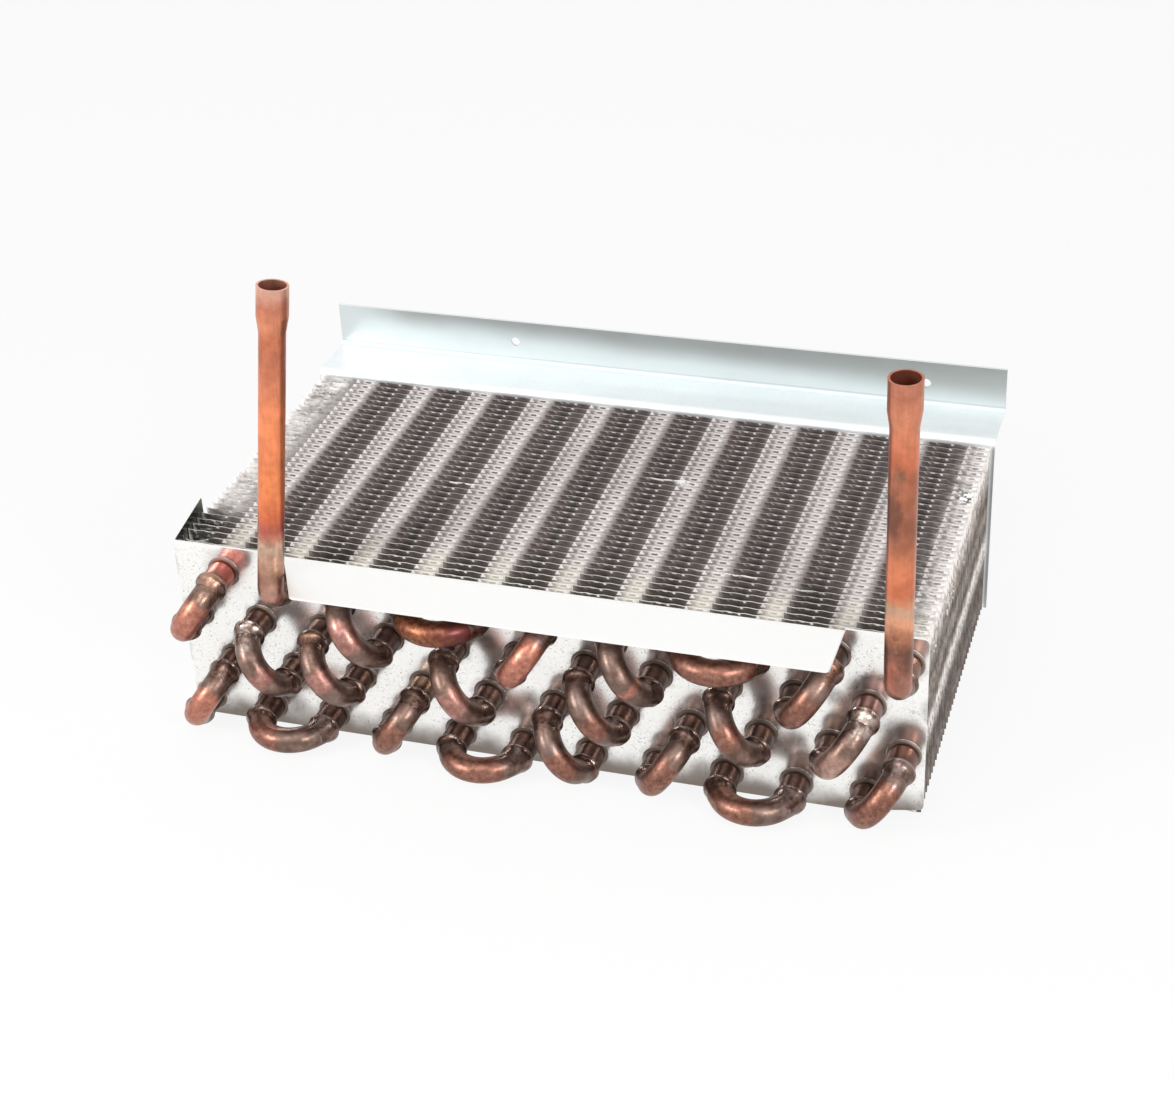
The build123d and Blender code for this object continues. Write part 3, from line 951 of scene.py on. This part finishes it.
# %% Tones of bare copper
BARE = {
    "salmon": ((0.30, 0.115, 0.078), (0.47, 0.19, 0.135), (0.62, 0.30, 0.22)),
    "pale": ((0.28, 0.165, 0.13), (0.42, 0.255, 0.205), (0.56, 0.39, 0.33)),
    "rose": ((0.24, 0.115, 0.095), (0.36, 0.176, 0.144), (0.50, 0.29, 0.25)),
    "brown": ((0.14, 0.062, 0.044), (0.25, 0.115, 0.082), (0.38, 0.20, 0.15)),
    "orange": ((0.09, 0.032, 0.026), (0.24, 0.088, 0.045), (0.44, 0.19, 0.09)),
}


def along_bend(x, y, z, link):
    """0 at the first end of a bend and 1 at its second end."""
    first, second = (Vector(tube_at(name)) for name in link.split("-"))
    middle, chord = (first + second) / 2, (second - first).normalized()
    across = (x - middle.x) * chord.x + (z - middle.y) * chord.y
    outward = -y + (FRONT - BELL_REACH + BEND_INSET)
    return outward.math("ARCTAN2", -across) / math.pi


def oxide(place):
    tone = noise(place, 4.5, detail=4, rough=0.6).ramp(
        (0.26, (0.090, 0.050, 0.037)), (0.45, (0.150, 0.091, 0.070)), (0.60, (0.225, 0.145, 0.117)),
        (0.80, (0.38, 0.27, 0.230)),
    )
    mist = noise(place, 11, detail=3, shift=6.0).rise(0.48, 0.64)
    return (mist * 0.45).blend(tone, (0.235, 0.175, 0.157))


print(len(BARE), "tones of bare copper:", ", ".join(BARE))

# %% [markdown]
# One function makes every bend's finish from its own row of the table above. Close to the plate the copper
# is darkest. Where filler ran down the bend it is paler and smoother, so it looks wet.


# %% Bend finish
def bend_copper(link, centre, half, tone_name):
    material, place, close = finish("bend_copper_" + link, metallic=0.9)
    x, y, z = axes(place)
    t = along_bend(x, y, z, link)
    wobble = noise(place, 4, detail=3, shift=3.0) * 0.16 - 0.08
    patch = abs(t + wobble - centre).rise(half + 0.035, half - 0.035)
    dark, mid, light = BARE[tone_name]
    bare = noise(place, 2.0, detail=4, rough=0.65).ramp((0.30, dark), (0.52, mid), (0.76, light))
    tone = patch.blend(oxide(place), bare)
    if tone_name == "orange":
        purple = (t + wobble * 1.5).rise(0.45, 0.75) * (noise(place, 3, shift=2.0) * 0.5 + 0.65)
        tone = purple.math("MINIMUM", 1.0).blend(tone, (0.125, 0.036, 0.036))
    collar = (-y + FRONT + noise(place, 3, shift=1.0) * 4).rise(17.0, 13.0) * (1 - patch * 0.75)
    tone = (collar * 0.7).blend(tone, (0.085, 0.045, 0.032))
    rough = noise(place, 3) * 0.26 + 0.25
    for name in link.split("-"):
        if name in LUMPS:
            px, pz = tube_at(name)
            near = spot(place, (px, FRONT - 14.5, pz + 3.5), 9.5, 2.0)
            wet = noise(place, 2.6, detail=4, rough=0.6, shift=8.0).rise(0.44, 0.60) * near
            tone = (wet * 0.7).blend(tone, FILLER[LUMPS[name][2]])
            rough = rough - wet * 0.2
    close(Base_Color=tone, Roughness=rough, Normal=relief(noise(place, 1.3, detail=3), 0.45, 0.14))
    return material


for number, (link, (centre, half, tone_name)) in enumerate(BENDS.items(), 1):
    dress(nodes[f"return_bend_{number:02d}"], bend_copper(link, centre, half, tone_name))
print(len(BENDS), "bends dressed, the first from", next(iter(BENDS)))


# %% [markdown]
# A hairpin is one piece, so its belled ends in front and its bend behind the rear plate share one finish.
# The flame reached only the front: towards the rear the tone goes over to clean plain copper. Five ends
# have their own stain.


# %% Tube ends and rear bends
def tube_copper():
    material, place, close = finish("tube_copper", metallic=0.88)
    y = axes(place)[1]
    out = -y + FRONT
    tone = noise(place, 4, detail=4, rough=0.6).ramp(
        (0.32, (0.042, 0.018, 0.013)), (0.5, (0.080, 0.038, 0.027)), (0.7, (0.145, 0.072, 0.053)),
    )
    # Painted highlight: a lighter ring on each bell's rolled lip.
    lip = out.rise(8.9, 9.6)
    tone = (lip * 0.6).blend(tone, (0.26, 0.175, 0.15))
    # Painted highlight: a light ring where the tube leaves the plate.
    root = out.rise(1.9, 0.9)
    tone = (root * 0.55).blend(tone, (0.55, 0.36, 0.22))
    for name, colour, reach in (
        ("A1", (0.46, 0.14, 0.11), 9.5), ("A11", (0.30, 0.145, 0.10), 9.5), ("C11", (0.19, 0.085, 0.06), 8.0),
        ("B11", (0.30, 0.16, 0.14), 8.0), ("C4", (0.22, 0.13, 0.08), 7.0),
    ):
        px, pz = tube_at(name)
        tone = (spot(place, (px, FRONT - 4.0, pz), reach, 5.4) * 0.8).blend(tone, colour)
    plain = noise(place, 6, detail=3).ramp(
        (0.3, (0.42, 0.20, 0.13)), (0.55, (0.60, 0.31, 0.21)), (0.8, (0.72, 0.43, 0.31)),
    )
    tone = y.rise(FRONT + 60, FRONT + 80).blend(tone, plain)
    rough = noise(place, 3) * 0.22 + 0.24
    close(Base_Color=tone, Roughness=rough, Normal=relief(noise(place, 1.3, detail=3), 0.3, 0.1))
    return material


tubes = tube_copper()
for name, node in nodes.items():
    if name.startswith("hairpin"):
        dress(node, tubes)
print("hairpins dressed")

# %% [markdown]
# The beads are paler than the copper under them and a little rougher in form, because filler sets in
# drips. Each lump takes its filler's own colour.


# %% Bead finish
def bead_metal():
    material, place, close = finish("bead_metal", metallic=0.88)
    y = axes(place)[1]
    tone = noise(place, 3.0, detail=4, rough=0.6).ramp(
        (0.32, (0.085, 0.047, 0.035)), (0.48, (0.15, 0.090, 0.070)), (0.66, (0.25, 0.165, 0.138)),
    )
    # Painted highlight: a lighter ring on the bell's lip under the bead.
    lip = y.rise(FRONT - 11.7, FRONT - 11.2)
    tone = (lip * 0.6).blend(tone, (0.34, 0.245, 0.215))
    for name, (_, lump, filler) in LUMPS.items():
        px, pz = tube_at(name)
        melted = noise(place, 3.0, shift=6.0).rise(0.36, 0.56)
        bright = spot(place, (px, FRONT - 11.5, pz + 4.5), 7.5, 2.0) * melted
        tone = (bright * min(0.9, 0.4 + lump * 0.4)).blend(tone, FILLER[filler])
    rough = noise(place, 2) * 0.22 + 0.18
    close(Base_Color=tone, Roughness=rough, Normal=relief(noise(place, 1.1, detail=3), 0.55, 0.2))
    return material


dress(beads, bead_metal())
print("beads dressed")

# %% [markdown]
# ## The two stubs
#
# Above, a stub is bright orange copper with fine drawn lines. The flame at its foot left bands: a pale
# greyish one where the heat stopped, and pinkish or mottled brown below. Both stubs get the same finish,
# so one function takes the bands and the stains of either.


# %% Stub finish
def stub_copper(name, bands, stains):
    """Bands of (height, colour) from the foot up, and stains of (point, reach, core, colour, strength)."""
    material, place, close = finish(name, metallic=0.88)
    z = axes(place)[2]
    height = z + noise(place, 6, detail=3) * 6 - 3
    low, high = bands[0][0], bands[-1][0]
    tone = ((height - low) / (high - low)).ramp(*[((h - low) / (high - low), c) for h, c in bands])
    sway = noise(place, 5, detail=3, shift=2.0) * 5 - 2.5
    moved = place.node("ShaderNodeVectorMath", {0: place, 1: sway}, operation="ADD")
    moved = place.node("ShaderNodeVectorMath", {0: moved, 1: (1, 1, 0.35)}, operation="MULTIPLY")
    for point, reach, core, colour, strength in stains:
        centre = (point[0], point[1], point[2] * 0.35)
        tone = (spot(moved, centre, reach, core) * strength).blend(tone, colour)
    lines = noise(place, 0.9, detail=3, stretch=(1, 1, 0.05)) * 0.34 + 0.83
    foot = z.rise(100, 92) * 0.4 + 0.42
    patches = noise(place, 7, detail=4, rough=0.6, shift=4.0).rise(0.37, 0.63)
    patches = patches * foot * 0.5 - foot * 0.25 + 1
    tone = (lines * patches).shade(tone)
    rough = noise(place, 4) * 0.16 + 0.24
    close(Base_Color=tone, Roughness=rough, Normal=relief(noise(place, 1.0, detail=2), 0.2, 0.08))
    return material


# %% [markdown]
# The bands were read off the photograph from the foot up. The right stub has more of them and more stains,
# because its flame burned higher and left a dark stretch halfway.

# %% Bands and stains of the two stubs
left_bands = [
    (58, (0.33, 0.18, 0.145)), (66, (0.38, 0.20, 0.16)), (72, (0.43, 0.23, 0.18)),
    (78, (0.34, 0.17, 0.11)), (83, (0.50, 0.29, 0.20)), (90, (0.60, 0.40, 0.30)),
    (93.5, (0.48, 0.20, 0.13)), (96, (0.42, 0.115, 0.083)), (101, (0.68, 0.17, 0.075)),
    (112, (0.84, 0.255, 0.10)), (140, (0.84, 0.27, 0.125)), (150, (0.70, 0.235, 0.128)),
    (162, (0.53, 0.176, 0.10)), (168, (0.55, 0.18, 0.093)), (174, (0.70, 0.26, 0.143)),
    (180, (0.60, 0.215, 0.13)), (187, (0.72, 0.40, 0.30)),
]
right_bands = [
    (58, (0.33, 0.15, 0.12)), (72, (0.37, 0.163, 0.117)), (78, (0.25, 0.108, 0.078)),
    (84, (0.21, 0.096, 0.068)), (90, (0.53, 0.22, 0.125)), (96, (0.70, 0.32, 0.19)),
    (101, (0.58, 0.36, 0.24)), (104, (0.60, 0.24, 0.13)), (108, (0.60, 0.178, 0.09)),
    (114, (0.74, 0.24, 0.12)), (120, (0.58, 0.20, 0.105)), (126, (0.43, 0.155, 0.088)),
    (132, (0.34, 0.128, 0.078)), (140, (0.41, 0.15, 0.085)), (150, (0.43, 0.148, 0.083)),
    (156, (0.60, 0.180, 0.093)), (162, (0.63, 0.205, 0.113)), (174, (0.68, 0.26, 0.15)),
    (180, (0.51, 0.19, 0.113)), (187, (0.52, 0.20, 0.13)),
]
left_stains = [((-94.0, -88.0, 72.0), 5.0, 1.5, (0.50, 0.27, 0.21), 0.5)]
right_stains = [
    ((130.5, -95.5, 137.0), 5.0, 2.6, (0.15, 0.070, 0.050), 0.7),
    ((132.0, -98.0, 149.0), 4.4, 2.4, (0.22, 0.120, 0.080), 0.75),
    ((131.5, -98.0, 124.5), 3.8, 2.2, (0.20, 0.080, 0.05), 0.8),
    ((135.5, -97.0, 129.0), 3.2, 1.0, (0.80, 0.29, 0.15), 0.6),
    ((136.5, -95.0, 81.0), 3.2, 1.2, (0.62, 0.23, 0.13), 0.5),
    ((131.5, -96.0, 91.0), 3.4, 2.0, (0.19, 0.085, 0.06), 0.7),
    ((136.5, -96.0, 91.0), 3.0, 1.6, (0.80, 0.29, 0.15), 0.6),
    ((131.0, -94.0, 74.0), 3.6, 1.8, (0.50, 0.17, 0.11), 0.6),
]
dress(nodes["inlet_stub"], stub_copper("left_stub_copper", left_bands, left_stains))
dress(nodes["outlet_stub"], stub_copper("right_stub_copper", right_bands, right_stains))
print("stubs dressed, with", len(left_bands), "and", len(right_bands), "bands")
